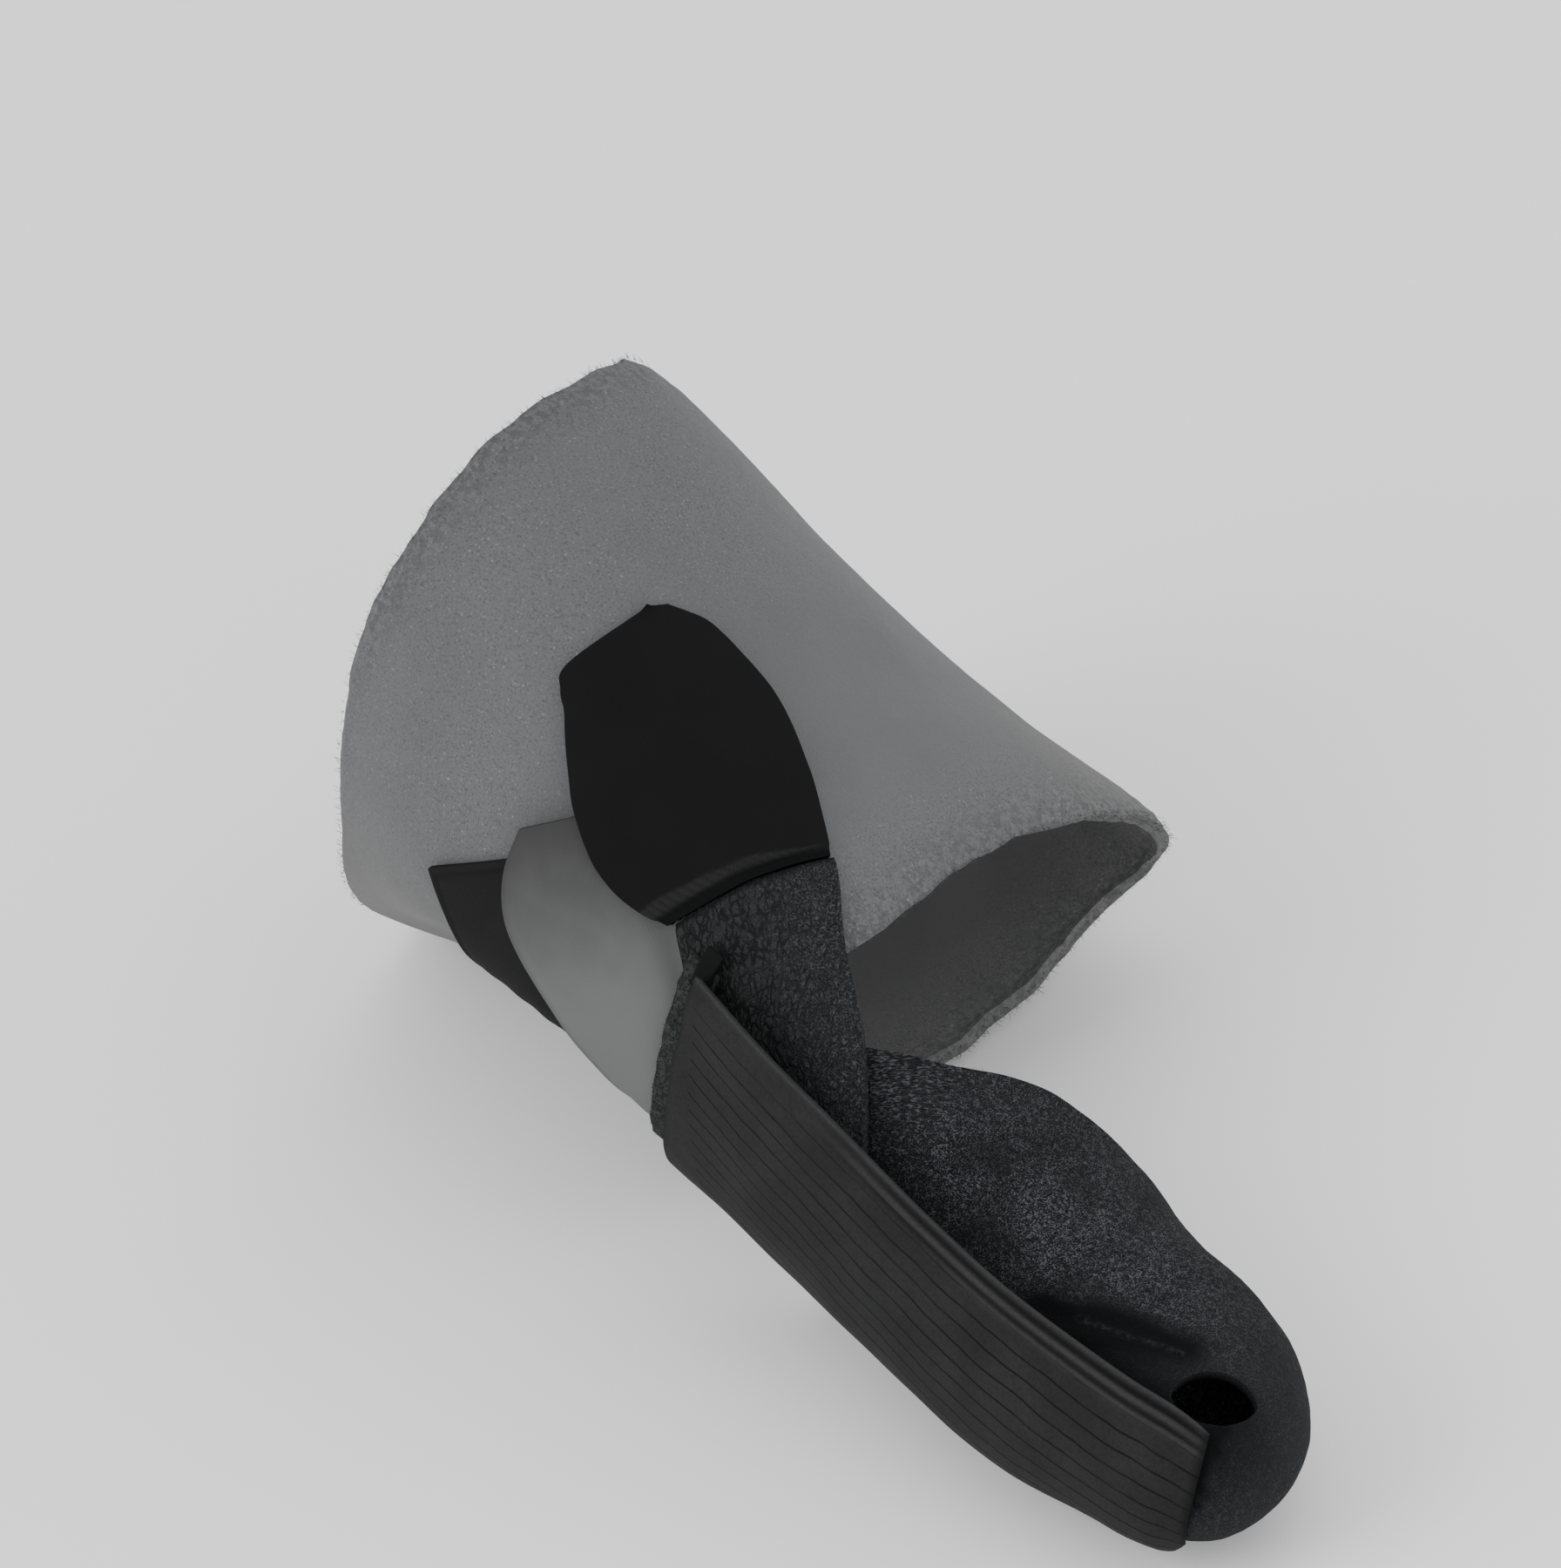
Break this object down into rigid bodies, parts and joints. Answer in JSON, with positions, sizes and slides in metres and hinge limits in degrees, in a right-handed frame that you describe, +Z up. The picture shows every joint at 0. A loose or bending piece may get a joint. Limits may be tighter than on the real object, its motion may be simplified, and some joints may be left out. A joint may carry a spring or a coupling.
{
  "type": "bunion corrector",
  "caption": "Cloth bunion corrector for a left foot: midfoot wrap, toe sleeve with a nail window, and a ribbed elastic band that pulls the big toe inwards.",
  "frame": {"origin": "inside the midfoot wrap, on the foot's axis, where the foot that wears the part sits in it", "axes": "+X towards the toes, -Y to the inner side of the foot, +Z up from the sole"},
  "size_m": [0.1872, 0.1013, 0.0921],
  "materials": {
    "grey_fleece": "brushed grey fleece",
    "grey_knit": "smooth grey knit",
    "black_fleece": "brushed black fleece with a grey speckle",
    "black_web": "smooth black webbing",
    "black_rib": "dark grey ribbed elastic"
  },
  "bodies": {
    "root": {"midfoot_wrap": "grey_fleece", "wrap_tongue": "grey_knit", "arch_strap": "black_web", "instep_strap": "black_fleece", "hook_tab": "black_web", "toe_sleeve": "black_fleece", "ribbed_band": "black_rib", "band_lining": "black_fleece", "band_end_tab": "black_web"}
  },
  "joints": []
}
